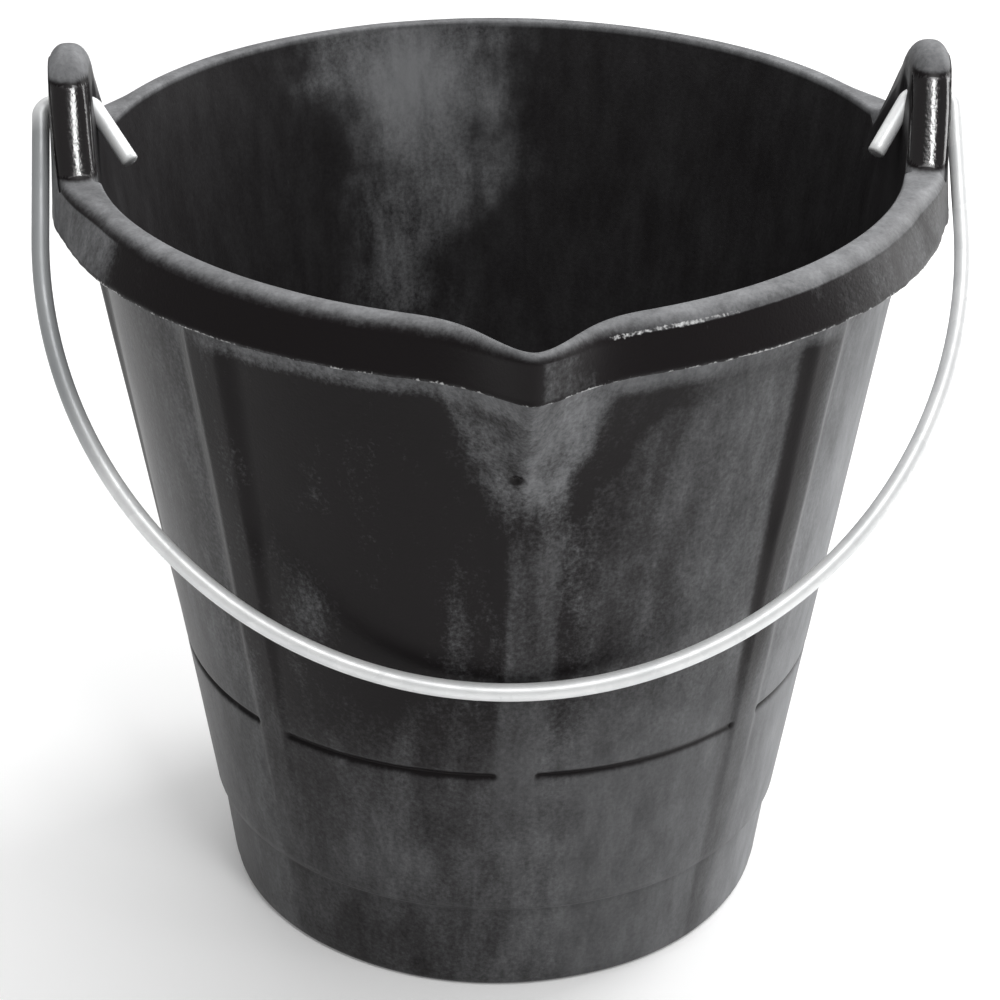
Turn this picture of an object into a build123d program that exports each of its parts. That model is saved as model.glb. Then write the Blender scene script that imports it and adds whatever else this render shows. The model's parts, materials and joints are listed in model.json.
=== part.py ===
from build123d import *
import os
from math import acos, atan2, cos, degrees, radians, sin, sqrt

# A moulded rubber bucket with a wire bail. Millimetres and degrees, floor at Z = 0, axis of the
# bucket on Z, pouring lip towards -Y, ears on the X axis.

# Wall and floor
rim_height = 296.0          # floor to the top of the rim
base_radius = 106.0         # outside of the wall at Z = 0
mouth_radius = 149.0        # outside of the wall, carried up to the rim top
wall_thickness = 5.0
floor_thickness = 7.0
base_corner = 3.0           # rounding outside, between wall and floor
inside_corner = 14.0        # rounding inside, between wall and floor
foot_band_height = 40.0     # below this level the wall steps in
foot_band_step = 1.3
groove_level = 105.0        # mould line round the wall, between the ribs
groove_radius = 1.2

# Rim
rim_overhang = 10.5         # lower outer edge beyond mouth_radius
rim_depth = 17.0
rim_slope = 7.5             # the outer face leans in by this much at the top
rim_shoulder = 3.0          # rounding of the upper outer edge
rim_lower_round = 1.2
rim_cove = 10.0             # hollow curve from the wall into the rim's underside

# Pouring lip
lip_reach = 22.5            # upper edge of the tip beyond the round rim
lip_undercut = 1.0          # the tip's lower edge stands back by this much
lip_edge = 5.0              # width of the rim's top face at the tip
lip_setback = 4.5           # from the tip's lower edge to the bulge under it
lip_half_width = 112.0      # where the lip's swell leaves the round rim
lip_swell_half_width = 46.0
lip_swell_share = 0.2       # share of the reach that the swell has there
lip_shoulder_half_width = 24.0   # where the swell turns into the spout
lip_shoulder_share = 0.33
lip_tip_pull = 0.5          # smaller makes a sharper tip
lip_drop = 86.0             # the lip fades into the wall this far below the rim top
lip_mid_share = 0.40        # share of the reach that is left halfway down
lip_foot_half_width = 10.0
bulge_half_width = 44.0     # where the bulge under the lip leaves the wall
bulge_shoulder_half_width = 14.0
bulge_shoulder_share = 0.45
bulge_foot_share = 0.9      # its foot lies in the front rib, at this share of the rib's height

# Ribs
rib_count = 8
rib_height = 4.0            # proud of the wall, under the rim
rib_foot = 50.0             # level where a rib fades into the wall
rib_top_width = 18.0
rib_foot_width = 11.0
rib_draft = 38.0            # slope of the rib's sides
rib_round = 4.0             # rounding along the rib's face

# Ears
ear_thickness = 13.5
ear_base_width = 67.0       # at the rim top
ear_height = 38.0           # above the rim top
ear_crown = 13.5            # radius of the rounded top
ear_round = 6.0             # rounding of the edges
ear_root = 16.0             # depth of the ear's foot inside the rim
pivot_rise = 17.0           # axis of the ear holes above the rim top

# Bail
wire_diameter = 6.3
hole_clearance = 0.3        # round the wire, in the ear
arm_gap = 0.4               # between the arms and the widest part of the rim
bend_radius = 4.6           # centreline of the tight bends beside the ears
ear_side_gap = 0.3          # between an ear's face and the start of a bend
bail_reach = 213.0          # from the axis to the wire at the middle of the loop
rest_gap = 0.5              # between the hanging bail and the front rib
hook_turn = 62.0            # the wire's ends are bent down by this angle
hook_length = 20.5          # straight end after the bend

# Sizes that follow
rim_radius = mouth_radius + rim_overhang
rim_bottom = rim_height - rim_depth
rim_top_radius = rim_radius - rim_slope
lip_tip = rim_radius + lip_reach
lip_points = [
    (lip_half_width, 0),
    (lip_swell_half_width, lip_swell_share),
    (lip_shoulder_half_width, lip_shoulder_share),
]
bulge_points = [(bulge_half_width, 0), (bulge_shoulder_half_width, bulge_shoulder_share)]
pivot_height = rim_height + pivot_rise
wire_radius = wire_diameter / 2
bail_half_span = rim_radius + arm_gap + wire_radius
ear_outer = bail_half_span - bend_radius - ear_side_gap
ear_inner = ear_outer - ear_thickness
overlap = 2.0               # depth that fused forms share


def wall_radius(level):
    """Outside radius of the plain wall."""
    return base_radius + (mouth_radius - base_radius) * level / rim_height


def inside_radius(level):
    return wall_radius(level) - wall_thickness


def rib_proud(level):
    """Height of a rib's face above the wall."""
    return rib_height * (level - rib_foot) / (rim_bottom - rib_foot)


def outer_wall():
    """Floor, foot band, wall and the cove under the rim, as one turned form."""
    cove_start = Vector(wall_radius(rim_bottom - rim_cove), rim_bottom - rim_cove)
    cove_end = Vector(wall_radius(rim_bottom) + rim_cove, rim_bottom)
    band_top = Vector(wall_radius(foot_band_height), foot_band_height)
    band_edge = Vector(wall_radius(foot_band_height) - foot_band_step, foot_band_height - foot_band_step)
    foot = Vector(base_radius, 0)
    lower = Polyline((0, 0), foot, band_edge, band_top, cove_start)
    cove = TangentArc(cove_start, cove_end, tangent=cove_start - band_top)
    upper = Polyline(cove_end, (cove_end.X, rim_bottom + overlap), (0, rim_bottom + overlap), (0, 0))
    profile = make_face([lower, cove, upper])
    foot_corner = profile.vertices().sort_by_distance(foot)[0]
    profile = fillet(foot_corner, base_corner)
    wall = revolve(Plane.XZ * profile, Axis.Z)
    groove = Pos(wall_radius(groove_level), groove_level) * Circle(groove_radius)
    return wall - revolve(Plane.XZ * groove, Axis.Z)


def inside_form():
    """The hollow of the bucket, without the lip's channel."""
    above = rim_height + overlap
    corner = Vector(inside_radius(floor_thickness), floor_thickness)
    profile = Polygon((0, floor_thickness), corner, (inside_radius(above), above), (0, above), align=None)
    profile = fillet(profile.vertices().sort_by_distance(corner)[0], inside_corner)
    return revolve(Plane.XZ * profile, Axis.Z)


def lip_section(radius, tip_radius, side_points, spread=1.0):
    """Plan of the lip on a round wall: each side leaves the wall, passes its points and ends at a soft tip."""
    points = []
    for half_width, share in side_points:
        half_width *= spread
        points.append(Vector(-half_width, -sqrt(radius**2 - half_width**2) - share * (tip_radius - radius)))
    start = points[0] + Vector(0, overlap)
    curve = Spline(
        start,
        *points[1:],
        (0, -tip_radius),
        tangents=[(-start.Y, start.X), (1, 0)],
        tangent_scalars=[1, lip_tip_pull],
    )
    other = mirror(curve, Plane.YZ)
    return make_face([curve, other, Line(start, (-start.X, start.Y))])


def lip_loft(radius_at, top, top_tip, foot_reach, side_points):
    """The lip's form on a wall, from the rim down to where it has died away."""
    foot = rim_height - lip_drop
    middle = (top + foot) / 2
    middle_tip = radius_at(middle) + lip_mid_share * (top_tip - radius_at(top))
    narrow = lip_foot_half_width / side_points[0][0]
    sections = [
        (top, top_tip, 1),
        (middle, middle_tip, (1 + narrow) / 2),
        (foot, radius_at(foot) + foot_reach, narrow),
    ]
    plans = [Pos(0, 0, z) * lip_section(radius_at(z), tip, side_points, spread) for z, tip, spread in sections]
    return loft(plans)


def collar():
    """Round part of the rim, with a leaning outer face, still closed across the mouth."""
    lower = Vector(rim_radius, rim_bottom)
    upper = Vector(rim_top_radius, rim_height)
    profile = Polygon((0, rim_bottom), lower, upper, (0, rim_height), align=None)
    profile = fillet(profile.vertices().sort_by_distance(upper)[0], rim_shoulder)
    profile = fillet(profile.vertices().sort_by_distance(lower)[0], rim_lower_round)
    return revolve(Plane.XZ * profile, Axis.Z)


def lip_rim():
    """The rim's edge where it is drawn out into the pouring lip."""
    lower = lip_section(rim_radius, lip_tip - lip_undercut, lip_points)
    upper = lip_section(rim_top_radius, lip_tip, lip_points)
    lip = loft([Pos(0, 0, rim_bottom) * lower, Pos(0, 0, rim_height) * upper], ruled=True)
    lip = fillet(lip.edges().group_by(Axis.Z)[-1].filter_by(GeomType.BSPLINE), rim_shoulder)
    return fillet(lip.edges().group_by(Axis.Z)[0].filter_by(GeomType.BSPLINE), rim_lower_round)


def rib():
    """Front rib: widest and proudest under the rim, gone at its foot."""
    top_level = rim_bottom + overlap
    top = Vector(0, -wall_radius(top_level) - rib_proud(top_level), top_level)
    foot = Vector(0, -wall_radius(rib_foot), rib_foot)
    run = top - foot
    face_plane = Plane(origin=foot, x_dir=(1, 0, 0), z_dir=Vector(1, 0, 0).cross(run))
    face = Polygon(
        (-rib_foot_width / 2, 0),
        (rib_foot_width / 2, 0),
        (rib_top_width / 2, run.length),
        (-rib_top_width / 2, run.length),
        align=None,
    )
    depth = rib_height + overlap
    bar = extrude(face_plane * face, -depth, taper=-rib_draft)
    face_edges = bar.faces().sort_by(Axis(face_plane.origin, face_plane.z_dir))[-1].edges()
    long_edges = [edge for edge in face_edges if edge.length > run.length]
    return fillet(long_edges, rib_round)


def ear():
    """Rounded, curved lug on the +X side of the rim, with the hole for the bail."""
    side = Plane(origin=(0, 0, rim_height), x_dir=(0, 1, 0), z_dir=(1, 0, 0))
    crown = Pos(0, ear_height - ear_crown) * Circle(ear_crown)
    base = Line((-ear_base_width / 2, 0), (ear_base_width / 2, 0))
    profile = make_hull(crown.edges() + base.edges())
    root = Pos(0, -ear_root / 2) * Rectangle(ear_base_width, ear_root)
    lug = extrude(side * (profile + root), ear_outer + overlap)
    tall = 2 * (ear_height + ear_root)
    ring = Pos(0, 0, rim_height) * (Cylinder(ear_outer, tall) - Cylinder(ear_inner, tall))
    lug &= ring
    above_rim = lug.edges().filter_by_position(Axis.Z, rim_height - ear_root / 2, rim_height + ear_height)
    long_edges = [edge for edge in above_rim if edge.length > ear_thickness + overlap]
    lug = fillet(long_edges, ear_round)
    hole = side * Pos(0, pivot_rise) * Cylinder(wire_radius + hole_clearance, 2 * (ear_outer + overlap))
    return lug - hole


def bucket_body():
    bulge_tip = lip_tip - lip_undercut - lip_setback
    bulge_foot_reach = bulge_foot_share * rib_proud(rim_height - lip_drop)
    bulge = lip_loft(wall_radius, rim_bottom + overlap, bulge_tip, bulge_foot_reach, bulge_points)
    channel = lip_loft(inside_radius, rim_height + overlap, lip_tip - lip_edge, -overlap / 2, lip_points)
    body = outer_wall() + collar() + lip_rim() + bulge
    front_rib = rib()
    body += [Rot(0, 0, step * 360 / rib_count) * front_rib for step in range(rib_count)]
    body -= inside_form() + channel
    right_ear = ear()
    return body + [right_ear, mirror(right_ear, Plane.YZ)]


def rest_tilt():
    """Slope of the hanging bail below the horizontal, with its loop just off the front rib."""
    foot_radius = wall_radius(rib_foot)
    lean = atan2(wall_radius(rim_bottom) + rib_height - foot_radius, rim_bottom - rib_foot)
    face_distance = foot_radius * cos(lean) + (pivot_height - rib_foot) * sin(lean)
    return degrees(lean + acos((face_distance + wire_radius + rest_gap) / bail_reach))


def wire_bail():
    """One wire: hook, ear, tight bend and arm on each side, joined by a half-round loop."""
    tilt = radians(rest_tilt())
    down = Vector(0, -cos(tilt), -sin(tilt))
    bail_plane = Plane(origin=(0, 0, pivot_height), x_dir=(1, 0, 0), z_dir=Vector(1, 0, 0).cross(down))
    loop_level = bail_reach - bail_half_span
    inner_bend = Vector(ear_inner - ear_side_gap, bend_radius)
    hook = radians(hook_turn)
    hook_start = inner_bend + Vector(-sin(hook), -cos(hook)) * bend_radius
    hook_end = hook_start + Vector(-cos(hook), sin(hook)) * hook_length
    right = [
        Line(hook_end, hook_start),
        CenterArc(inner_bend, bend_radius, -90 - hook_turn, hook_turn),
        Line((inner_bend.X, 0), (bail_half_span - bend_radius, 0)),
        CenterArc((bail_half_span - bend_radius, bend_radius), bend_radius, -90, 90),
        Line((bail_half_span, bend_radius), (bail_half_span, loop_level)),
        CenterArc((0, loop_level), bail_half_span, 0, 90),
    ]
    left = [mirror(piece, Plane.YZ).edge() for piece in right]
    path = bail_plane * Wire(right + left[::-1])
    section = Plane(origin=path @ 0, z_dir=path % 0) * Circle(wire_radius)
    return sweep(section, path=path)


os.makedirs("parts", exist_ok=True)
for name, shape in {"bucket_body": bucket_body(), "wire_bail": wire_bail()}.items():
    export_step(shape, f"parts/{name}.step")
    print(name, "volume", round(shape.volume), "solids", len(shape.solids()), "valid", shape.is_valid)
print("rest tilt", round(rest_tilt(), 2), "swing", round(180 + 2 * rest_tilt(), 1), "pivot", pivot_height)
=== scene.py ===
import json
import math

import bpy
import numpy as np
from mathutils import Matrix, Vector, noise

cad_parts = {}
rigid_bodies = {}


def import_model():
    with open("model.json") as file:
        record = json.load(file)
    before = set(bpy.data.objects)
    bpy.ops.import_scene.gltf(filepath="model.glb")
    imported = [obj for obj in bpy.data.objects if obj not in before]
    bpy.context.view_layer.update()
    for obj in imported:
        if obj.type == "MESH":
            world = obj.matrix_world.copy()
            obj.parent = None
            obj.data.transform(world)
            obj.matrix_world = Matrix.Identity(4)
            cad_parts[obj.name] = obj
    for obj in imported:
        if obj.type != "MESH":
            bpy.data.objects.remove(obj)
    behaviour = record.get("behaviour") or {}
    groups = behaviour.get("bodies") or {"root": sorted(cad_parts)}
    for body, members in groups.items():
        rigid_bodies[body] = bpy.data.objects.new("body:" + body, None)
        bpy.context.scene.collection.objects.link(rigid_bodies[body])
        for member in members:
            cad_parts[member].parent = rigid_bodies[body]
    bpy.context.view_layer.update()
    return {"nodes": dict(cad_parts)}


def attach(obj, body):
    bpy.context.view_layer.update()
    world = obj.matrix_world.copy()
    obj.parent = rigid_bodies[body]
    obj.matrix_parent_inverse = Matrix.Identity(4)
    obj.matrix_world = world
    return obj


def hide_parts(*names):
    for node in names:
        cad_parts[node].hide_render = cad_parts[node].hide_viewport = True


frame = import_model()
scene = bpy.context.scene
scene.view_settings.view_transform = "Standard"
mm = 0.001
print("frame loaded:", ", ".join(sorted(frame["nodes"])))


def hexLinear(code):  # sRGB hex to linear RGBA
    channels = [int(code[at:at + 2], 16) / 255 for at in (1, 3, 5)]
    return (*[c / 12.92 if c <= 0.04045 else ((c + 0.055) / 1.055) ** 2.4 for c in channels], 1.0)


def addNode(tree, kind, settings=None, inputs=None):
    node = tree.nodes.new(kind)
    for key, value in (settings or {}).items():
        setattr(node, key, value)
    for key, value in (inputs or {}).items():
        if isinstance(value, bpy.types.NodeSocket):
            tree.links.new(value, node.inputs[key])
        else:
            node.inputs[key].default_value = value
    return node


def newMaterial(name):
    material = bpy.data.materials.new(name)
    material.use_nodes = True
    return material, material.node_tree, material.node_tree.nodes["Principled BSDF"]


def meshObject(name, points, faces):
    mesh = bpy.data.meshes.new(name)
    mesh.from_pydata(points, [], faces)
    mesh.shade_smooth()
    piece = bpy.data.objects.new(name, mesh)
    scene.collection.objects.link(piece)
    return piece


def ease(value):
    value = np.clip(value, 0, 1)
    return value * value * (3 - 2 * value)


# The moulded body: one closed skin, as rings from the middle of the underside, up the outside,
# over the rim and down the inside to the middle of the floor. Sizes in mm, angles from the lip.
bucket = {
    "rimHeight": 296, "baseRadius": 106, "mouthRadius": 149, "wall": 5, "floor": 7,
    "baseCorner": 3, "insideCorner": 14, "footBand": 40, "footStep": 1.3,
    "grooveLevel": 105, "grooveDepth": 1.5, "grooveHalf": 1.3,
    "rimRadius": 159.5, "rimDepth": 17, "rimTopRadius": 152, "rimShoulder": 6.5, "bevel": 0.8,
    "rimCove": 10, "flash": 0.4, "edgeCircle": 160,
    "grooveWorn": 0.6,                          # share of the groove that is worn off right of the front rib
    "unevenness": 0.2, "waves": (55, 17),       # height and lengths of the waves of a hand-loaded mould
    "around": 960, "fineRib": 7, "fineEar": 15, "fineLip": 16, "closer": 1.6,   # points, closer within degrees
}
lip = {
    "swellAngle": 0.56,         # the rim bulges towards the lip within this angle
    "circle": 150, "tipSoft": 0.8,      # radius that its width is measured on, rounding of its tip
    "spoutHalf": 16.0,          # half width of the spout where it is about a third out
    "swellTop": 7.5, "reachTop": 22.5, "swellInside": 8, "reachInside": 25, "swellLow": 4, "reachLow": 17.5,
    "bulgeSwell": 4, "bulgeReach": 26, "bulgeFoot": 206, "bulgePower": 1.75, "bulgeNeck": 7.5, "channelNeck": 8,
    "dimple": (-2.6, 236, 1.5, 1.7),    # across, level, half width, depth
    "rubbed": (0.12, 0.62),     # a painted highlight runs along the rim's shoulder edge between these angles
}
ribs = {
    "count": 8, "height": 4, "foot": 50, "topHalf": 8.6, "footHalf": 5.2, "flank": 0.8, "draft": 0.85,
    "underEar": 9.0, "earReach": 40,    # ribs this near an ear are wider by this on each side
    "footBlend": 0.9, "topBlend": 0.8,
}
ears = {
    "circle": 151, "outer": 158.15, "inner": 144.65, "height": 38, "crown": 13.5, "halfBase": 33.5,
    "round": 3.8, "crownRound": 4.9, "camber": 14, "cove": 1.5, "footOut": 1.3,
    "pivotRise": 17, "holeRadius": 3.2, "holeChamfer": 1.1, "chamferWidth": 3.0,
    "leftLean": 0.9, "rightLean": 1.7, "leftTaller": 0.8, "rightTaller": -0.8,
}


def ringAngles(count):  # closer together at the ribs, the ears and the lip
    fine = np.linspace(-math.pi, math.pi, 7201)
    halfPitch = math.pi / ribs["count"]
    nearRib = np.abs((fine + halfPitch) % (2 * halfPitch) - halfPitch) < math.radians(bucket["fineRib"])
    nearEar = np.abs(np.abs(fine) - math.pi / 2) < math.radians(bucket["fineEar"])
    nearLip = np.abs(fine) < math.radians(bucket["fineLip"])
    weight = 1 + bucket["closer"] * (nearRib | nearEar | nearLip)
    total = np.concatenate([[0], np.cumsum((weight[1:] + weight[:-1]) / 2)])
    return np.interp(np.linspace(0, total[-1], count, endpoint=False), total, fine)


theta = ringAngles(bucket["around"])
swell = np.exp(-(theta / lip["swellAngle"]) ** 2)
degrees = np.degrees(theta)
lipDistance = np.abs(theta) * lip["circle"]
ribAngle = (theta + math.pi / ribs["count"]) % (2 * math.pi / ribs["count"]) - math.pi / ribs["count"]
earDistance = np.abs(np.abs(theta) - math.pi / 2) * ears["circle"]
rimBottom = bucket["rimHeight"] - bucket["rimDepth"]


def wallRadius(z):
    return bucket["baseRadius"] + (bucket["mouthRadius"] - bucket["baseRadius"]) * z / bucket["rimHeight"]


def spout(halfWidth, power=1.7):
    return np.exp(-(np.sqrt(lipDistance**2 + lip["tipSoft"]) / halfWidth) ** power)


def softMax(a, b, blend):
    near = np.maximum(blend - np.abs(a - b), 0) / blend
    return np.maximum(a, b) + near * near * blend / 4


def ribRise(z):
    share = np.clip((z - ribs["foot"]) / (rimBottom - ribs["foot"]), 0, 1.02)
    half = ribs["footHalf"] + (ribs["topHalf"] - ribs["footHalf"]) * share
    half = half + ribs["underEar"] * share * (earDistance < ribs["earReach"])
    rise = ribs["height"] * share
    flank = ribs["flank"] + ribs["draft"] * rise
    across = (half + flank - np.abs(ribAngle) * wallRadius(z)) / flank
    return -rise * softMax(-softMax(across, 0, ribs["footBlend"]), -1, ribs["topBlend"])


def bulgeRise(z):  # the funnel under the lip, on the outside of the wall
    share = min(max((z - lip["bulgeFoot"]) / (rimBottom - lip["bulgeFoot"]), 0), 1)
    tip = lip["bulgeReach"] * share ** lip["bulgePower"]
    half = lip["bulgeNeck"] + (lip["spoutHalf"] - lip["bulgeNeck"]) * share
    return lip["bulgeSwell"] * share**1.3 * swell + tip * spout(half, 1.4)


def outsideRadius(z):
    plain = wallRadius(z) + softMax(ribRise(z), bulgeRise(z), 2.5)
    offset = (z - bucket["grooveLevel"]) / bucket["grooveHalf"]
    faint = bucket["grooveWorn"] * ease((theta - 0.1) / 0.4) * (theta < 0.72)
    groove = bucket["grooveDepth"] * math.exp(-offset * offset) * (1 - faint)
    return plain - groove * (1 - ease(ribRise(z) / 0.8))


def insideRadius(z):
    share = min(max((z - lip["bulgeFoot"]) / (bucket["rimHeight"] - lip["bulgeFoot"]), 0), 1)
    half = lip["channelNeck"] + (lip["spoutHalf"] - lip["channelNeck"]) * share
    reach = lip["reachInside"] * share**1.7 * spout(half)
    return wallRadius(z) - bucket["wall"] + lip["swellInside"] * share**1.5 * swell + reach


def earHeight():
    rise = ears["height"] - ears["crown"]
    slope = math.atan2(rise, ears["halfBase"]) + math.asin(ears["crown"] / math.hypot(ears["halfBase"], rise))
    side = (ears["halfBase"] - earDistance) * math.tan(slope)
    crown = rise + np.sqrt(np.maximum(ears["crown"] ** 2 - earDistance**2, 0))
    outline = np.where(earDistance < ears["crown"] * math.sin(slope), crown, side)
    taller = np.where(theta < 0, ears["leftTaller"], ears["rightTaller"]) / ears["height"]
    return (outline + np.sqrt(outline**2 + ears["cove"] ** 2)) / 2 * (1 + taller)


def raggedNoise(size, seed):  # along the rim's edge, bumps of the given size in mm
    turns = bucket["edgeCircle"] / size
    return np.array([noise.noise(Vector((math.sin(a) * turns, math.cos(a) * turns, seed))) for a in theta])


def bodyRings():
    rings = []

    def ring(radius, z, kind, paintedGlints=0.0, over=1.0, sag=0.0):
        z = z - sag * (radius - (ears["outer"] + ears["inner"]) / 2) ** 2 / (2 * ears["camber"])
        lean = np.where(theta < 0, ears["leftLean"], ears["rightLean"])
        lean = lean * np.maximum(z - bucket["rimHeight"], 0) / ears["height"]
        rings.append((np.broadcast_to(radius + lean, theta.shape), np.broadcast_to(z, theta.shape), kind,
                      np.broadcast_to(paintedGlints, theta.shape), over))

    # underside, base corner and foot band
    corner = bucket["baseCorner"]
    for radius in (25, 50, 72, 88, 98):
        ring(radius, 0, "under")
    for turn in np.linspace(0, math.pi / 2, 6):
        ring(bucket["baseRadius"] - corner + corner * math.sin(turn), corner - corner * math.cos(turn), "wall")
    bandEdge = bucket["footBand"] - bucket["footStep"]
    bandOut = wallRadius(bucket["footBand"]) - bucket["footStep"] - bucket["baseRadius"]
    for z in np.linspace(corner, bandEdge - 1, 13)[1:]:
        ring(bucket["baseRadius"] + bandOut * z / bandEdge, z, "wall")
    ring(wallRadius(bandEdge) - bucket["footStep"] + 0.1, bandEdge - 0.3, "wall")
    ring(wallRadius(bandEdge) - bucket["footStep"] * 0.55, bandEdge + 0.3, "wall")
    ring(wallRadius(bandEdge) - 0.25, bandEdge + 1.0, "wall")
    # wall, with closer rings at the groove and the dimple
    coveStart = rimBottom - bucket["rimCove"]
    near = bucket["grooveLevel"] + bucket["grooveHalf"] * np.linspace(-2.2, 2.2, 13)
    dimpled = lip["dimple"][1] + np.linspace(-2.4, 2.4, 9)
    plain = np.linspace(bucket["footBand"] + 0.6, coveStart, 86)
    plain = [z for z in plain if abs(z - bucket["grooveLevel"]) > 3.4 and abs(z - lip["dimple"][1]) > 2.8]
    levels = np.unique(np.concatenate([plain, near, dimpled]))
    for z in levels:
        ring(outsideRadius(z), z, "wall")

    # cove under the rim, and the flash that tore there
    lowRadius = bucket["rimRadius"] + lip["swellLow"] * swell + lip["reachLow"] * spout(15.5, 1.5)
    lowRadius = lowRadius + ears["footOut"] * ease((ears["halfBase"] + 14 - earDistance) / 20)
    start, turnAt, end = outsideRadius(coveStart), outsideRadius(rimBottom - 0.8), lowRadius - 2.2
    end = np.maximum(end, turnAt + 0.4)
    for t in np.linspace(0, 1, 11)[1:]:
        ring((1 - t) ** 2 * start + 2 * t * (1 - t) * turnAt + t * t * end,
             (1 - t) ** 2 * coveStart + 2 * t * (1 - t) * (rimBottom - 0.2) + t * t * rimBottom, "cove")
    ragged = raggedNoise(5, 3.1) + 0.6 * raggedNoise(13, 8.4)
    flash = bucket["flash"] * np.clip(0.55 + ragged, 0.05, 1.4)
    # painted glints: pale dots along the torn flash that stand in for light catching its edge
    paintedGlint = 0.40 + 0.6 * raggedNoise(2.6, 5.7) + 0.5 * raggedNoise(21, 1.3) + 0.18 * ease(theta / 0.3)
    paintedGlint = np.clip(paintedGlint, 0, 0.66)
    # painted highlight: a pale broken line along the shoulder edge right of the lip
    highlightFrom, highlightTo = lip["rubbed"]
    paintedEdgeHighlight = ease((theta - highlightFrom) / 0.05) * ease((highlightTo - theta) / 0.3)
    paintedEdgeHighlight = paintedEdgeHighlight * (0.53 + 0.10 * raggedNoise(6, 9.2))
    ring(lowRadius - 1.0, rimBottom - 0.05, "cove", 0.4 * paintedGlint)
    ring(lowRadius - 0.3 + 0.5 * flash, rimBottom - 0.1 - 0.35 * flash, "flash", paintedGlint)
    ring(lowRadius - 0.1 + 0.75 * flash, rimBottom + 0.05 - 0.25 * flash, "flash", paintedGlint)
    ring(lowRadius + 0.25 * flash, rimBottom + 0.55, "flash", 0.5 * paintedGlint)
    ring(lowRadius - 0.1, rimBottom + 1.3, "rimFace")

    # face, shoulder and top of the rim, which rise into the ears
    ear = ease((ears["halfBase"] + 1.5 - earDistance) / 3)
    topZ = bucket["rimHeight"] + earHeight()
    beside = ease((ears["halfBase"] + 34 - earDistance) / 38)       # the rim widens to the ear's thickness
    earRound = ears["round"] + (ears["crownRound"] - ears["round"]) * ease((17 - earDistance) / 9)
    shoulder = bucket["rimShoulder"] - 4 * spout(lip["spoutHalf"]) - 3.5 * beside
    shoulder = shoulder + (earRound - shoulder) * ear
    topRadius = bucket["rimTopRadius"] + lip["swellTop"] * swell + lip["reachTop"] * spout(lip["spoutHalf"])
    topRadius = topRadius * (1 - beside) + ears["outer"] * beside
    # a sloping ear edge is rounded square to its slope, so its rounding is taller there
    tall = np.minimum(np.sqrt(1 + np.gradient(topZ, theta * ears["circle"]) ** 2), 1.8)
    faceR, faceZ = topRadius - lowRadius + 0.1, (topZ - rimBottom - 1.3) / tall
    faceLength = np.hypot(faceR, faceZ)
    inset = shoulder / np.tan(np.arccos(faceR / faceLength) / 2)
    faceEndR, faceEndZ = topRadius - inset * faceR / faceLength, topZ - inset * tall * faceZ / faceLength
    for t in np.linspace(0, 1, 16)[1:]:
        ring((lowRadius - 0.1) * (1 - t) + faceEndR * t, (rimBottom + 1.3) * (1 - t) + faceEndZ * t, "rimFace",
             0.3 * paintedEdgeHighlight * (t == 1))
    centreR, centreZ = topRadius - inset, topZ - shoulder * tall
    startTurn = np.arctan2((faceEndZ - centreZ) / tall, faceEndR - centreR)
    rounding = bucket["bevel"] + (1 - bucket["bevel"]) * ear       # 1 is a full round, 0 a flat bevel
    for t in np.linspace(0, 1, 11)[1:]:
        turn = startTurn * (1 - t) + math.pi / 2 * t
        flatR, flatZ = faceEndR * (1 - t) + centreR * t, faceEndZ * (1 - t) + topZ * t
        roundR, roundZ = centreR + shoulder * np.cos(turn), centreZ + shoulder * tall * np.sin(turn)
        ring(flatR + (roundR - flatR) * rounding, flatZ + (roundZ - flatZ) * rounding, "shoulder",
             paintedEdgeHighlight * (t < 0.25), t, ear * tall)
    innerRound = 1.4 + (earRound - 1.4) * ear
    mouth = insideRadius(bucket["rimHeight"]) * (1 - ear) + ears["inner"] * ear
    flatIn = np.minimum(mouth + innerRound, centreR - 0.2)
    for t in np.linspace(0, 1, 9)[1:]:
        ring(centreR + (flatIn - centreR) * t, topZ, "rimTop", sag=ear * tall)
    for turn in np.linspace(0, math.pi / 2, 8)[1:]:
        ring(flatIn - (flatIn - mouth) * math.sin(turn), topZ - innerRound * tall * (1 - math.cos(turn)), "rimTop",
             sag=ear * tall)
    joinZ = rimBottom + 2
    for t in np.linspace(0, 1, 13)[1:]:
        ring(mouth + (insideRadius(joinZ) - mouth) * t, (topZ - innerRound * tall) * (1 - t) + joinZ * t, "inside")

    # wall, corner and floor of the inside
    bend = bucket["insideCorner"]
    for z in np.linspace(joinZ, bucket["floor"] + bend, 58)[1:]:
        ring(insideRadius(z), z, "inside")
    for turn in np.linspace(0, math.pi / 2, 9)[1:]:
        ring(insideRadius(bucket["floor"] + bend) - bend * (1 - math.cos(turn)),
             bucket["floor"] + bend * (1 - math.sin(turn)), "inside")
    for radius in (74, 58, 40, 20):
        ring(radius, bucket["floor"], "inside")
    return rings
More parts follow.
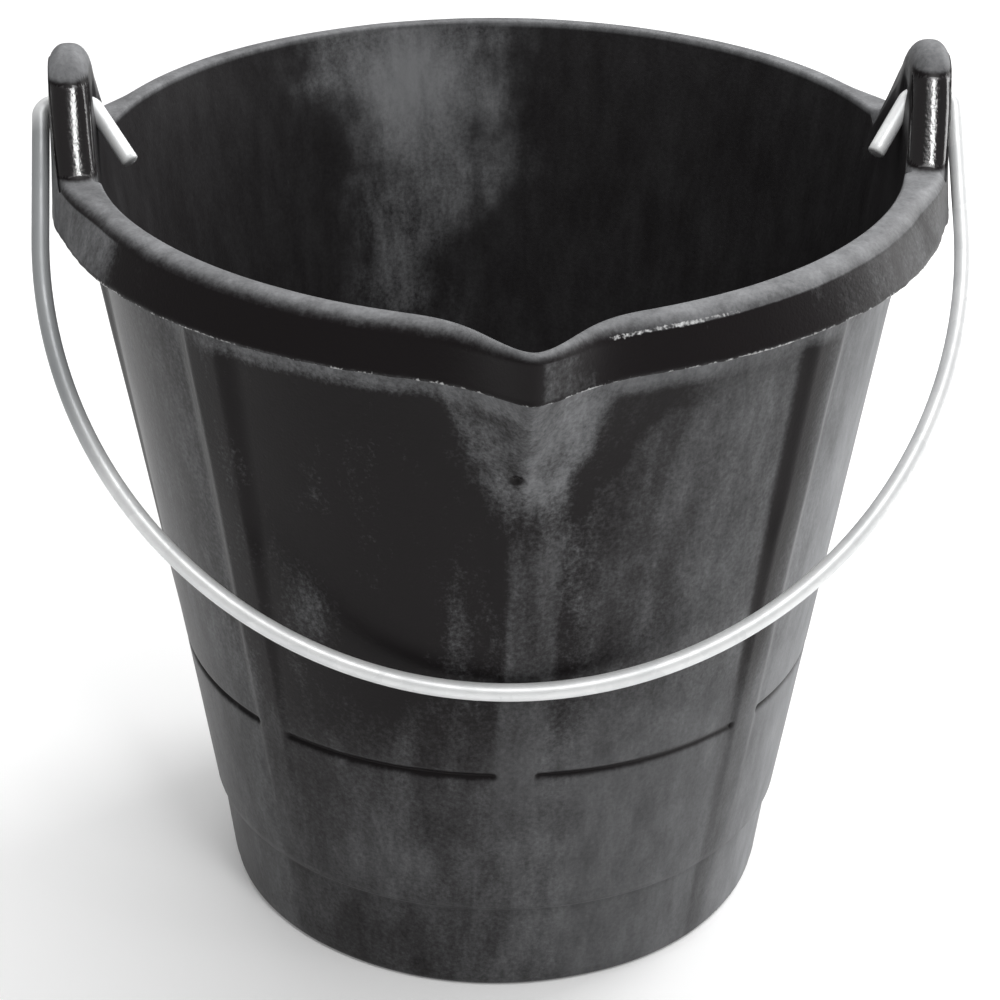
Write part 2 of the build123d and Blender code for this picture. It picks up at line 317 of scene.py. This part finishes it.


# Share of the rubber that is dulled by bloom and dust, 0 to 1, by kind of surface and by degrees from the lip, which
# in places also paints light and shade. Below 0 it is rubbed bright. The mottle says how much that share breaks up
# into patches and specks.
dustAndPaintedLight = {
    # painted shade darkens the rib flanks at -98 to -79.5 and at 41 to 44 degrees; from 48 to 106 degrees the share
    # is dust with painted light on the right side
    "angles": (-180, -101, -98, -79.5, -75.5, -62, -50, -47, -40, -12, -5, 5, 14, 30, 39.5, 41, 44, 48, 60, 72, 106,
               140, 180),
    "wallHigh": (0.27, 0.32, 0.06, 0.06, 0.40, 0.38, 0.40, 0.17, 0.11, 0.08, 0.14, 0.30, 0.36, 0.48, 0.48,
                 0.13, 0.20, 0.58, 0.86, 0.80, 0.46, 0.34, 0.27),
    "wallLow": (0.35, 0.38, 0.30, 0.30, 0.44, 0.44, 0.46, 0.38, 0.33, 0.37, 0.42, 0.46, 0.48, 0.55, 0.55,
                0.43, 0.45, 0.61, 0.83, 0.78, 0.49, 0.41, 0.35),
    # the rim face is painted light at its left end, from -61 to -56 degrees, where it faces left
    "rimAngles": (-180, -120, -61, -56, -40, -12, 0.2, 1.2, 4.5, 10, 30, 42, 60, 120, 180),
    "rimFace": (0.22, 0.48, 0.55, 0.12, 0.05, 0.02, 0.03, 0.40, 0.36, 0.08, 0.12, 0.25, 0.36, 0.31, 0.22),
    "lowBelow": 166, "lowOver": 70,             # the low share takes over below this level, over this height
    "backFrom": 80, "backOver": 40,             # degrees from the lip
    # rimTop, rimTopRight and earTop hold dust and painted light from above; cove holds the painted reflection under
    # the rim
    "rimTop": 0.61, "rimTopRight": 0.06, "cove": 0.60, "inside": 0.32, "under": 0.40, "flash": 0.3,
    "earTop": 0.66, "earEdge": -0.32, "earSide": 0.16, "earBack": 0.4,
    "frontRib": {"share": 0.44, "half": 4.6, "soft": 1.4, "lean": 1.9},     # width and lean in degrees
    # the funnel under the lip gathers dust, with its right half painted lighter as the lit side, and right of it
    # runs a cleaner band
    "funnel": {"left": 0.43, "right": 0.63, "foot": 212, "neck": 7, "spread": 24, "from": 200, "over": 75},
    "band": {"narrow": 4, "spread": 15, "over": 55, "cleaner": 0.42},
    # a patch on the back of the inside that trails down: level, angle from the back, half width, share
    "patch": ((140, 0.27, 0.04, 0.0), (172, 0.25, 0.09, 0.12), (195, 0.28, 0.10, 0.15), (215, 0.23, 0.15, 0.20),
              (235, 0.15, 0.19, 0.26), (262, 0.17, 0.22, 0.30), (275, 0.21, 0.27, 0.30), (300, 0.23, 0.32, 0.20)),
    "patchCore": (0.20, 276, 0.13, 26, 0.34),     # angle, level, half angle, half height, share
    "mottle": {"wall": 1, "cove": 0.8, "flash": 0.6, "rimFace": 0.7, "shoulder": 0.5, "rimTop": 0.5, "inside": 0.14,
               "under": 0.8},
    # angle, level, half angle, half height, share
    "smears": ((-33, 168, 7, 20, 0.29), (-9, 172, 4, 26, 0.23), (-27, 232, 6, 20, 0.12), (-26, 62, 12, 26, 0.12),
               (4.6, 160, 0.9, 40, 0.10)),
}


def spot(across, up, halfAcross, halfUp):
    return np.exp(-((across / halfAcross) ** 2) - (up / halfUp) ** 2)


def lipDustAndPaintedLight(cover, z, wobble):
    funnel, band = dustAndPaintedLight["funnel"], dustAndPaintedLight["band"]
    side = theta * wallRadius(z)
    half = funnel["neck"] + funnel["spread"] * np.clip((z - funnel["from"]) / funnel["over"], 0, 1) + 2.5 * wobble
    inFunnel = ease((half + 4 - np.abs(side)) / 10) * ease((z - funnel["foot"]) / 22)
    wide = band["narrow"] + band["spread"] * np.clip((z - funnel["foot"]) / band["over"], 0, 1)
    beside = ease((wide - np.abs(side - half - 0.6 * wide)) / 8) * ease((z - 205) / 20)
    # painted shade on the swell above and right of the lip
    paintedSwellShade = ease((z - 252) / 8) * ease((side - 20) / 10) * ease((75 - side) / 30)
    beside = np.maximum(beside, paintedSwellShade) * (1 - inFunnel) * (side > 0)
    share = funnel["left"] + (funnel["right"] - funnel["left"]) * ease((side + 3) / 6)
    cover = cover * (1 - band["cleaner"] * beside) * (1 - inFunnel) + share * inFunnel
    across, level, halfWidth, _ = lip["dimple"]
    return cover - 1.2 * spot(side - across, z - level, halfWidth, halfWidth)       # the dimple is painted dark as shade


def wallDustAndPaintedLight(z, wobble):
    low = ease((dustAndPaintedLight["lowBelow"] - z) / dustAndPaintedLight["lowOver"])
    cover = np.interp(degrees, dustAndPaintedLight["angles"], dustAndPaintedLight["wallHigh"]) * (1 - low)
    cover = cover + np.interp(degrees, dustAndPaintedLight["angles"], dustAndPaintedLight["wallLow"]) * low
    back = ease((np.abs(degrees) - dustAndPaintedLight["backFrom"]) / dustAndPaintedLight["backOver"])
    cover = cover * (1 - 0.45 * back * ease(ribRise(z) / 2))            # the ribs there are rubbed cleaner
    for angle, level, halfAngle, halfHeight, share in dustAndPaintedLight["smears"]:
        cover = cover + share * spot(degrees - angle, z - level, halfAngle, halfHeight)
    front = dustAndPaintedLight["frontRib"]                                            # it has greyed evenly
    middle = front["lean"] * ease((z - bucket["grooveLevel"]) / 60)
    rib = ease((front["half"] - np.abs(degrees - middle)) / front["soft"])
    rib = rib * ease((z - 70) / 40) * ease((222 - z) / 25)
    cover = cover + (front["share"] - cover) * 0.75 * rib
    cover = lipDustAndPaintedLight(cover, z, wobble)
    # painted shade in the groove: less share there makes it darker
    offset = (z - bucket["grooveLevel"]) / bucket["grooveHalf"]
    paintedGrooveShade = np.exp(-offset * offset) * (1 - ease(ribRise(bucket["grooveLevel"]) / 0.8))
    cover = cover * (1 - 0.7 * paintedGrooveShade)
    paintedCoveReflection = ease((z - rimBottom + 14.5) / 3) * ease((degrees + 58) / 26)    # painted reflection: a pale strip on the cove under the rim
    paintedCoveReflection = paintedCoveReflection * ease((165 - degrees) / 50)
    cover = cover + (dustAndPaintedLight["cove"] - cover) * paintedCoveReflection
    calm = ease((degrees - 6) / 8) * ease((130 - degrees) / 60)         # the right side is dulled more evenly
    calm = np.minimum(calm + back + 0.8 * rib, 1)
    return cover, (1 - 0.45 * calm) * (1 - 0.5 * low)


def rimFaceDustAndPaintedLight(z, wobble):
    face = np.interp(degrees + 2.5 * wobble * (degrees > 2), dustAndPaintedLight["rimAngles"], dustAndPaintedLight["rimFace"])
    return face + (dustAndPaintedLight["earSide"] - face) * ease((z - bucket["rimHeight"] + 4) / 20)


def rimTopDustAndPaintedLight(z, over):    # the ears' edges are rubbed clean below their tops, most in front
    rise = z - bucket["rimHeight"]
    rightHand = ease((theta - 0.1) / 0.25) * ease(3.0 - theta)
    least = 0.35 + 0.45 * rightHand                                     # the shoulder is cleaner left of the lip
    # the tops take dust and painted light from above
    top = (dustAndPaintedLight["rimTop"] + dustAndPaintedLight["rimTopRight"] * rightHand) * (least + (1 - least) * ease(over / 0.8))
    top = top + (dustAndPaintedLight["earTop"] - top) * ease(rise / 20)
    edge = ease(rise / 3) * (1 - ease((rise - 27) / 4))
    edge = edge * (dustAndPaintedLight["earBack"] + (1 - dustAndPaintedLight["earBack"]) * ease((92 - np.abs(degrees)) / 4))
    return top + (dustAndPaintedLight["earEdge"] - top) * edge


def insideDust(z, wobble):
    place = theta % (2 * math.pi) - math.pi
    level, angle, half, share = zip(*dustAndPaintedLight["patch"])
    height = np.clip(z, level[0], level[-1])
    off = np.abs(place - np.interp(height, level, angle)) + 0.09 * wobble
    spread = ease((np.interp(height, level, half) + 0.12 - off) / 0.24) * ease((z - level[0]) / 30)
    patch = np.interp(height, level, share) * spread
    angle, level, halfAngle, halfHeight, share = dustAndPaintedLight["patchCore"]
    core = share * spot(place - angle, z - level, halfAngle, halfHeight)
    return dustAndPaintedLight["inside"] - 0.04 * spread + patch + core, spread


def dustAndPaintedLightShare(kind, z, over, wobble):   # share and mottle
    mottle = dustAndPaintedLight["mottle"][kind]
    if kind in ("wall", "cove"):
        cover, broken = wallDustAndPaintedLight(z, wobble)
        return cover, mottle * broken
    if kind == "rimFace":
        return rimFaceDustAndPaintedLight(z, wobble), mottle
    if kind in ("shoulder", "rimTop"):
        return rimTopDustAndPaintedLight(z, over), mottle
    if kind == "inside":
        cover, spread = insideDust(z, wobble)
        return cover, mottle + 0.6 * spread
    return dustAndPaintedLight[kind], mottle


rings = bodyRings()
ringCount, around = len(rings), len(theta)
points = np.empty((ringCount, around, 3))
cover, paintedGlints, mottle = (np.empty((ringCount, around)) for _ in range(3))
for row, (radius, z, kind, paintedGlintValue, over) in enumerate(rings):
    points[row, :, 0] = radius * np.sin(theta)
    points[row, :, 1] = -radius * np.cos(theta)
    points[row, :, 2] = z
    places = points[row]
    wobble = np.array([noise.noise(Vector(p) / 16) + 0.6 * noise.noise(Vector(p) / 5.5) for p in places])
    (cover[row], mottle[row]), paintedGlints[row] = dustAndPaintedLightShare(kind, z, over, wobble), paintedGlintValue
points = points.reshape(-1, 3)
step = np.arange(around)
nextStep = (step + 1) % around
faces = []
for row in range(ringCount - 1):
    a, b = row * around, (row + 1) * around
    faces += np.stack([a + step, a + nextStep, b + nextStep, b + step], 1).tolist()
under, over = len(points), len(points) + 1
points = np.vstack([points, [[0, 0, 0], [0, 0, bucket["floor"]]]])
last = (ringCount - 1) * around
faces += [[under, int(n), int(s)] for s, n in zip(step, nextStep)]
faces += [[over, int(last + s), int(last + n)] for s, n in zip(step, nextStep)]
body = meshObject("mouldedBody", (points * mm).tolist(), faces)
faceCover = cover[:-1] + cover[1:] + np.roll(cover[:-1], -1, 1) + np.roll(cover[1:], -1, 1)
faceCover[:, earDistance > ears["halfBase"] + 2] = 0
faceCover[[kind not in ("shoulder", "rimTop") for _, _, kind, _, _ in rings[1:]]] = 0
rubbedFaces = np.append((faceCover < -0.2).ravel(), np.zeros(2 * around)).astype(np.int32)
body.data.polygons.foreach_set("material_index", rubbedFaces)     # 1 where hands and wire rub the ears
layers = {      # on the rings, in the middle of the underside and in the middle of the floor
    "dustAndPaintedLightShare": (cover, dustAndPaintedLight["under"], dustAndPaintedLight["inside"]), "paintedGlintShare": (paintedGlints, 0, 0), "mottle": (mottle, 0.8, 0.3),
}
for name, share in layers.items():
    layer = body.data.attributes.new(name, "FLOAT", "POINT")
    layer.data.foreach_set("value", np.append(share[0].ravel(), share[1:]).astype(np.float32))


def unevenSkin(piece):  # soft waves, a countersink round each bail hole and the dimple under the lip
    normals = np.empty(len(piece.data.vertices) * 3, np.float32)
    piece.data.vertices.foreach_get("normal", normals)
    normals = normals.reshape(-1, 3)
    place = points.copy()
    long, short = bucket["waves"]
    waves = np.array([noise.noise(Vector(p) / long) + 0.35 * noise.noise(Vector(p) / short) for p in place])
    keepFlat = place[:, 2] > 0.5
    place += normals * (bucket["unevenness"] * waves * keepFlat)[:, None]
    pivot = bucket["rimHeight"] + ears["pivotRise"]
    fromHole = np.hypot(place[:, 1], place[:, 2] - pivot)
    sink = ears["holeChamfer"] * (1 - ease((fromHole - ears["holeRadius"]) / ears["chamferWidth"]))
    place -= normals * (sink * (np.abs(place[:, 0]) > 130))[:, None]        # at the ears alone
    across, level, halfWidth, depth = lip["dimple"]
    fromDimple = np.hypot(place[:, 0] - across, place[:, 2] - level) / halfWidth
    dimple = depth * np.exp(-fromDimple**2) * (place[:, 1] < -wallRadius(level) + 1)
    place -= normals * dimple[:, None]
    piece.data.vertices.foreach_set("co", (place * mm).ravel())
    piece.data.update()


unevenSkin(body)
print("moulded body:", len(points), "points,", len(faces), "faces")


# The bail: one galvanised wire, bent cold. It hangs in front, just off the front rib.
bail = {
    "wire": 3.15, "pivot": 313, "halfSpan": 163.05, "reach": 212.4, "tilt": 51.2, "bend": 4.6,
    "innerBend": {"left": 147.6, "right": 149.4}, "hookTurn": 58, "hookLength": 23.0, "chamfer": 0.7, "sides": 28,
    "wander": 0.35, "wanderFrom": 30, "wanderOver": 180, "wanderLength": 70,
    "paintedArmShade": 0.85,            # painted shade on the arm at the left, darkest there
}


def arcPoints(centre, radius, start, end, count):
    turns = np.radians(np.linspace(start, end, count))
    return [(centre[0] + radius * math.cos(t), centre[1] + radius * math.sin(t)) for t in turns]


def halfLoop(innerBend):  # in the plane of the loop: x across, y down the loop from the holes
    turn = math.radians(bail["hookTurn"])
    bendAt = (innerBend, bail["bend"])
    hookStart = (bendAt[0] - bail["bend"] * math.sin(turn), bendAt[1] - bail["bend"] * math.cos(turn))
    hookEnd = (hookStart[0] - bail["hookLength"] * math.cos(turn),
               hookStart[1] + bail["hookLength"] * math.sin(turn))
    outerBend = bail["halfSpan"] - bail["bend"]
    loopLevel = bail["reach"] - bail["halfSpan"]
    half = [tuple(np.array(hookEnd) * (1 - t) + np.array(hookStart) * t) for t in np.linspace(0, 1, 9)[:-1]]
    half += arcPoints(bendAt, bail["bend"], -90 - bail["hookTurn"], -90, 12)
    half += [(x, 0.0) for x in np.linspace(bendAt[0], outerBend, 6)[1:-1]]
    half += arcPoints((outerBend, bail["bend"]), bail["bend"], -90, 0, 14)
    half += [(bail["halfSpan"], y) for y in np.linspace(bail["bend"], loopLevel, 16)[1:-1]]
    return half + arcPoints((0, loopLevel), bail["halfSpan"], 0, 90, 70)


def bailPath():
    left = [(-x, y) for x, y in halfLoop(bail["innerBend"]["left"])]
    whole = halfLoop(bail["innerBend"]["right"]) + left[-2::-1]
    tilt = math.radians(bail["tilt"])
    path = []
    for x, y in whole:  # a hand-bent loop wanders a little from its plane, away from the wall
        sway = noise.noise(Vector((x / bail["wanderLength"], y / bail["wanderLength"], 2.0)))
        free = max(y - bail["wanderFrom"], 0) / bail["wanderOver"] * bail["wander"] * (1 + sway)
        path.append((x, -y * math.cos(tilt) - free * math.sin(tilt),
                     bail["pivot"] - y * math.sin(tilt) + free * math.cos(tilt)))
    return np.array(path)


def wireMesh(path, radius, sides):
    tangent = np.gradient(path, axis=0)
    tangent /= np.linalg.norm(tangent, axis=1)[:, None]
    side = np.cross(tangent[0], (0, 0, 1.0))
    side /= np.linalg.norm(side)
    turns = np.linspace(0, 2 * math.pi, sides, endpoint=False)
    rows = []
    for at, along in zip(path, tangent):
        side = side - along * np.dot(side, along)
        side /= np.linalg.norm(side)
        rows.append((at, along, side.copy(), np.cross(along, side)))
    chamfer = bail["chamfer"]
    first, lastRow = rows[0], rows[-1]
    sections = [(first[0], radius - chamfer, first), (first[0] + first[1] * chamfer, radius, first)]
    sections += [(row[0], radius, row) for row in rows[1:-1]]
    sections += [(lastRow[0] - lastRow[1] * chamfer, radius, lastRow), (lastRow[0], radius - chamfer, lastRow)]
    rim = []
    for at, size, row in sections:
        rim.append(at + size * (np.cos(turns)[:, None] * row[2] + np.sin(turns)[:, None] * row[3]))
    wirePoints = np.vstack(rim + [first[0][None], lastRow[0][None]])
    wireFaces = []
    for row in range(len(sections) - 1):
        for s in range(sides):
            n = (s + 1) % sides
            wireFaces.append((row * sides + s, row * sides + n, (row + 1) * sides + n, (row + 1) * sides + s))
    endRow = (len(sections) - 1) * sides
    wireFaces += [(len(wirePoints) - 2, (s + 1) % sides, s) for s in range(sides)]
    wireFaces += [(len(wirePoints) - 1, endRow + s, endRow + (s + 1) % sides) for s in range(sides)]
    return wirePoints, wireFaces


wirePoints, wireFaces = wireMesh(bailPath(), bail["wire"], bail["sides"])
wire = meshObject("bailWire", (wirePoints * mm).tolist(), wireFaces)
leftArm = ease((-wirePoints[:, 0] - 132) / 26) * ease((-3 - wirePoints[:, 1]) / 6)
layer = wire.data.attributes.new("paintedArmShade", "FLOAT", "POINT")
layer.data.foreach_set("value", (bail["paintedArmShade"] * leftArm).astype(np.float32))
print("bail wire:", len(wirePoints), "points")


# Black natural rubber with carbon black, compression moulded: a dull satin skin with fine grain and pits,
# greyed in patches by bloom and dust that break up into specks, in places painted light and shade, and pale painted
# glints along the torn flash and the shoulder edge.
rubberLook = {
    "black": "#1b1819", "dusty": ("#838486", "#939496"), "paintedGlint": "#d4d4d4", "scuff": "#8b8c8d",
    "patch": 38.0, "smear": 10.0, "speck": 1.6, "pit": 3.2, "scratch": 9.0, "dot": 1.1,     # mm
    "grain": 0.9,                     # mm, the real grain of about 0.2 is too fine to show, so it is drawn coarser
    "broken": {"patch": 0.45, "smear": 0.61, "speck": 0.6, "shift": -0.83},     # weights of the dust's patterns
    "rough": (0.105, 0.36, 0.60),     # rubbed, clean and dusty
    "pitDepth": 0.12,                 # mm
    "specular": {"blackMouldedRubber": 0.12, "rubbedRubber": 0.58},
    "grainDepth": {"blackMouldedRubber": 0.10, "rubbedRubber": 0.10},   # mm
}


def rubberMaterial(name):
    material, tree, shader = newMaterial(name)
    place = addNode(tree, "ShaderNodeTexCoord").outputs["Object"]
    cover = addNode(tree, "ShaderNodeAttribute", {"attribute_name": "dustAndPaintedLightShare"}).outputs["Fac"]
    paintedGlintValue = addNode(tree, "ShaderNodeAttribute", {"attribute_name": "paintedGlintShare"}).outputs["Fac"]
    drawn = addNode(tree, "ShaderNodeMapping", inputs={"Vector": place, "Scale": (1, 1, 0.3)}).outputs[0]
    patch = addNode(tree, "ShaderNodeTexNoise", inputs={
        "Vector": place, "Scale": 1 / (rubberLook["patch"] * mm), "Detail": 4, "Roughness": 0.6}).outputs["Fac"]
    smear = addNode(tree, "ShaderNodeTexNoise", inputs={
        "Vector": drawn, "Scale": 1 / (rubberLook["smear"] * mm), "Detail": 5, "Roughness": 0.66}).outputs["Fac"]
    speck = addNode(tree, "ShaderNodeTexNoise", inputs={
        "Vector": place, "Scale": 1 / (rubberLook["speck"] * mm), "Detail": 3, "Roughness": 0.7}).outputs["Fac"]
    mottle = addNode(tree, "ShaderNodeAttribute", {"attribute_name": "mottle"}).outputs["Fac"]
    mix = rubberLook["broken"]["shift"]
    for pattern, weight in ((patch, "patch"), (smear, "smear"), (speck, "speck")):
        mix = addNode(tree, "ShaderNodeMath", {"operation": "MULTIPLY_ADD"}, {
            0: pattern, 1: rubberLook["broken"][weight], 2: mix}).outputs[0]
    mix = addNode(tree, "ShaderNodeMath", {"operation": "MULTIPLY_ADD"}, {0: mix, 1: mottle, 2: cover}).outputs[0]
    dusty = addNode(tree, "ShaderNodeMapRange", {"interpolation_type": "SMOOTHSTEP"},
                    {"Value": mix, "From Min": 0.20, "From Max": 0.95}).outputs[0]
    thick = addNode(tree, "ShaderNodeMapRange", inputs={
        "Value": smear, "From Min": 0.35, "From Max": 0.65}).outputs[0]
    thin, full = (hexLinear(code) for code in rubberLook["dusty"])
    bloom = addNode(tree, "ShaderNodeMix", {"data_type": "RGBA"}, {0: thick, 6: thin, 7: full}).outputs[2]
    colour = addNode(tree, "ShaderNodeMix", {"data_type": "RGBA"},
                     {0: dusty, 6: hexLinear(rubberLook["black"]), 7: bloom}).outputs[2]
    drag = addNode(tree, "ShaderNodeMapping", inputs={
        "Vector": place, "Rotation": (0.3, 0.2, 0.9), "Scale": (1, 0.07, 0.25)}).outputs[0]
    scratch = addNode(tree, "ShaderNodeTexNoise", inputs={
        "Vector": drag, "Scale": 1 / (rubberLook["scratch"] * mm), "Detail": 8, "Roughness": 0.75}).outputs["Fac"]
    scuffed = addNode(tree, "ShaderNodeMapRange", inputs={
        "Value": scratch, "From Min": 0.66, "From Max": 0.78, "To Min": 0.0, "To Max": 0.3}).outputs[0]
    colour = addNode(tree, "ShaderNodeMix", {"data_type": "RGBA"},
                     {0: scuffed, 6: colour, 7: hexLinear(rubberLook["scuff"])}).outputs[2]
    # painted glints: pale dots where the glint share is high, on the flash and the shoulder edge
    dot = addNode(tree, "ShaderNodeTexNoise", inputs={
        "Vector": place, "Scale": 1 / (rubberLook["dot"] * mm), "Detail": 2}).outputs["Fac"]
    edge = addNode(tree, "ShaderNodeMath", {"operation": "MULTIPLY_ADD"}, {0: dot, 1: 1.2, 2: paintedGlintValue}).outputs[0]
    paintedGlint = addNode(tree, "ShaderNodeMapRange", inputs={"Value": edge, "From Min": 1.0, "From Max": 1.35}).outputs[0]
    colour = addNode(tree, "ShaderNodeMix", {"data_type": "RGBA"},
                     {0: paintedGlint, 6: colour, 7: hexLinear(rubberLook["paintedGlint"])}).outputs[2]
    tree.links.new(colour, shader.inputs["Base Color"])
    rubbed, clean, dull = rubberLook["rough"]
    bare = addNode(tree, "ShaderNodeMapRange", inputs={
        "Value": cover, "From Min": -0.3, "From Max": -0.05, "To Min": rubbed, "To Max": clean}).outputs[0]
    rough = addNode(tree, "ShaderNodeMapRange", inputs={
        "Value": dusty, "To Min": bare, "To Max": dull}).outputs[0]
    tree.links.new(rough, shader.inputs["Roughness"])
    shader.inputs["Specular IOR Level"].default_value = rubberLook["specular"][name]
    shader.inputs["IOR"].default_value = 1.52
    grain = addNode(tree, "ShaderNodeTexNoise", inputs={
        "Vector": place, "Scale": 1 / (rubberLook["grain"] * mm), "Detail": 3}).outputs["Fac"]
    pits = addNode(tree, "ShaderNodeTexVoronoi", {"feature": "SMOOTH_F1"},
                   {"Vector": place, "Scale": 1 / (rubberLook["pit"] * mm)}).outputs["Distance"]
    pitted = addNode(tree, "ShaderNodeMapRange", inputs={"Value": pits, "From Min": 0.0, "From Max": 0.3}).outputs[0]
    bumpPits = addNode(tree, "ShaderNodeBump", inputs={
        "Height": pitted, "Distance": rubberLook["pitDepth"] * mm, "Strength": 0.3}).outputs[0]
    bumpGrain = addNode(tree, "ShaderNodeBump", inputs={
        "Height": grain, "Distance": rubberLook["grainDepth"][name] * mm, "Strength": 0.7,
        "Normal": bumpPits}).outputs[0]
    tree.links.new(bumpGrain, shader.inputs["Normal"])
    return material


# Galvanised steel wire: a pale silver zinc skin, whitened by its bloom, with faint spangle and drawing marks, and
# painted shade on its left arm.
zincLook = {
    "zinc": "#f9fafa", "dull": "#dadcdd", "paintedArmShade": "#8e9193",
    "spangle": 5.0, "smear": 14.0,    # mm
    "mark": 1.4,                      # mm, real drawing marks are too fine to show, so they are drawn coarser
    "markDepth": 0.05,                # mm
    "rough": (0.38, 0.52),
    "metallic": 0.25,                 # the rest is the white bloom that zinc weathers to
}


def zincMaterial():
    material, tree, shader = newMaterial("galvanisedSteelWire")
    place = addNode(tree, "ShaderNodeTexCoord").outputs["Object"]
    cells = addNode(tree, "ShaderNodeTexVoronoi", inputs={
        "Vector": place, "Scale": 1 / (zincLook["spangle"] * mm)}).outputs["Color"]
    spangle = addNode(tree, "ShaderNodeSeparateColor", inputs={0: cells}).outputs[0]
    smear = addNode(tree, "ShaderNodeTexNoise", inputs={
        "Vector": place, "Scale": 1 / (zincLook["smear"] * mm), "Detail": 6}).outputs["Fac"]
    tone = addNode(tree, "ShaderNodeMath", {"operation": "MULTIPLY_ADD"}, {0: spangle, 1: 0.3, 2: smear}).outputs[0]
    share = addNode(tree, "ShaderNodeMapRange", inputs={
        "Value": tone, "From Min": 0.45, "From Max": 0.95, "To Min": 0.0, "To Max": 0.6}).outputs[0]
    colour = addNode(tree, "ShaderNodeMix", {"data_type": "RGBA"},
                     {0: share, 6: hexLinear(zincLook["zinc"]), 7: hexLinear(zincLook["dull"])}).outputs[2]
    # painted shade: the left arm is darker
    paintedArmShade = addNode(tree, "ShaderNodeAttribute", {"attribute_name": "paintedArmShade"}).outputs["Fac"]
    colour = addNode(tree, "ShaderNodeMix", {"data_type": "RGBA"},
                     {0: paintedArmShade, 6: colour, 7: hexLinear(zincLook["paintedArmShade"])}).outputs[2]
    tree.links.new(colour, shader.inputs["Base Color"])
    rough = addNode(tree, "ShaderNodeMapRange", inputs={
        "Value": tone, "From Min": 0.3, "From Max": 1.0,
        "To Min": zincLook["rough"][0], "To Max": zincLook["rough"][1]}).outputs[0]
    tree.links.new(rough, shader.inputs["Roughness"])
    shader.inputs["Metallic"].default_value = zincLook["metallic"]
    marks = addNode(tree, "ShaderNodeTexNoise", inputs={
        "Vector": place, "Scale": 1 / (zincLook["mark"] * mm), "Detail": 3}).outputs["Fac"]
    bump = addNode(tree, "ShaderNodeBump", inputs={
        "Height": marks, "Distance": zincLook["markDepth"] * mm, "Strength": 0.4}).outputs[0]
    tree.links.new(bump, shader.inputs["Normal"])
    return material


for name in rubberLook["specular"]:
    body.data.materials.append(rubberMaterial(name))
wire.data.materials.append(zincMaterial())
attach(body, "bucket")
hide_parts("bucket_body")
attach(wire, "bail")
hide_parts("wire_bail")
print("materials set")


# Studio: pale paper floor, soft boxes, camera where the photograph was taken from.
studio = {
    "floor": "#f2f2f2", "floorHalf": 5, "floorGlow": 0.14, "world": 0.25, "aim": (0, 0, 0.15),
    "boxes": {   # place in m, size in m, watts
        "ceiling": ((0.10, 0.75, 1.65), (2.0, 1.7), 23.0),
        "keyRightBack": ((1.25, 0.80, 1.00), (0.8, 0.8), 17.0),
        "rightLow": ((1.40, 0.40, 0.30), (0.6, 0.5), 4.0),
        "frontTop": ((0.32, -1.20, 1.73), (0.30, 0.30), 9.0),
        "frontHigh": ((0.25, -0.70, 1.75), (1.0, 0.5), 7.5),
    },
}
view = {
    "distance": 1.020, "down": 0.492, "lens": 95.04, "target": (0.0009, 0, 0.147),
    "roll": 0.010, "turn": -0.0611, "shiftY": 0.010,
}


def buildStudio():
    half = studio["floorHalf"]
    corners = [(-half, -half, 0), (half, -half, 0), (half, half, 0), (-half, half, 0)]
    floor = meshObject("paleFloor", corners, [(0, 1, 2, 3)])
    material, tree, shader = newMaterial("palePaperFloor")   # matt white background paper, no sheen
    shader.inputs["Base Color"].default_value = hexLinear(studio["floor"])
    shader.inputs["Roughness"].default_value = 0.9
    shader.inputs["Specular IOR Level"].default_value = 0.1
    shader.inputs["Emission Color"].default_value = (1, 1, 1, 1)
    # the paper looks white to the camera and in reflections, and still takes the bucket's shadow
    path = addNode(tree, "ShaderNodeLightPath").outputs
    seen = path["Is Camera Ray"]
    for ray in ("Is Glossy Ray", "Is Transmission Ray"):
        seen = addNode(tree, "ShaderNodeMath", {"operation": "MAXIMUM"}, {0: seen, 1: path[ray]}).outputs[0]
    glow = addNode(tree, "ShaderNodeMath", {"operation": "MULTIPLY"}, {0: seen, 1: studio["floorGlow"]}).outputs[0]
    tree.links.new(glow, shader.inputs["Emission Strength"])
    floor.data.materials.append(material)
    world = bpy.data.worlds.new("studioWorld")
    world.use_nodes = True
    background = world.node_tree.nodes["Background"]
    background.inputs["Color"].default_value = (1, 1, 1, 1)
    background.inputs["Strength"].default_value = studio["world"]
    scene.world = world
    for name, (place, size, watts) in studio["boxes"].items():
        light = bpy.data.lights.new(name, "AREA")
        light.shape = "RECTANGLE"
        light.size, light.size_y = size
        light.energy = watts
        lamp = bpy.data.objects.new(name, light)
        scene.collection.objects.link(lamp)
        lamp.location = place
        lamp.rotation_euler = (Vector(studio["aim"]) - Vector(place)).to_track_quat("-Z", "Y").to_euler()


def placeCamera():
    turn = Matrix.Rotation(view["turn"], 3, "Z")
    forward = turn @ Vector((0, math.cos(view["down"]), -math.sin(view["down"])))
    up = turn @ Vector((0, math.sin(view["down"]), math.cos(view["down"])))
    right = turn @ Vector((1, 0, 0))
    lens = bpy.data.cameras.new("photoCamera")
    lens.sensor_width = 36
    lens.lens = view["lens"]
    lens.shift_y = view["shiftY"]
    lens.clip_end = 50
    camera = bpy.data.objects.new("photoCamera", lens)
    scene.collection.objects.link(camera)
    matrix = Matrix((right, up, -forward)).transposed().to_4x4() @ Matrix.Rotation(view["roll"], 4, "Z")
    matrix.translation = turn @ Vector(view["target"]) - forward * view["distance"]
    camera.matrix_world = matrix
    scene.camera = camera


buildStudio()
placeCamera()
print("studio ready")
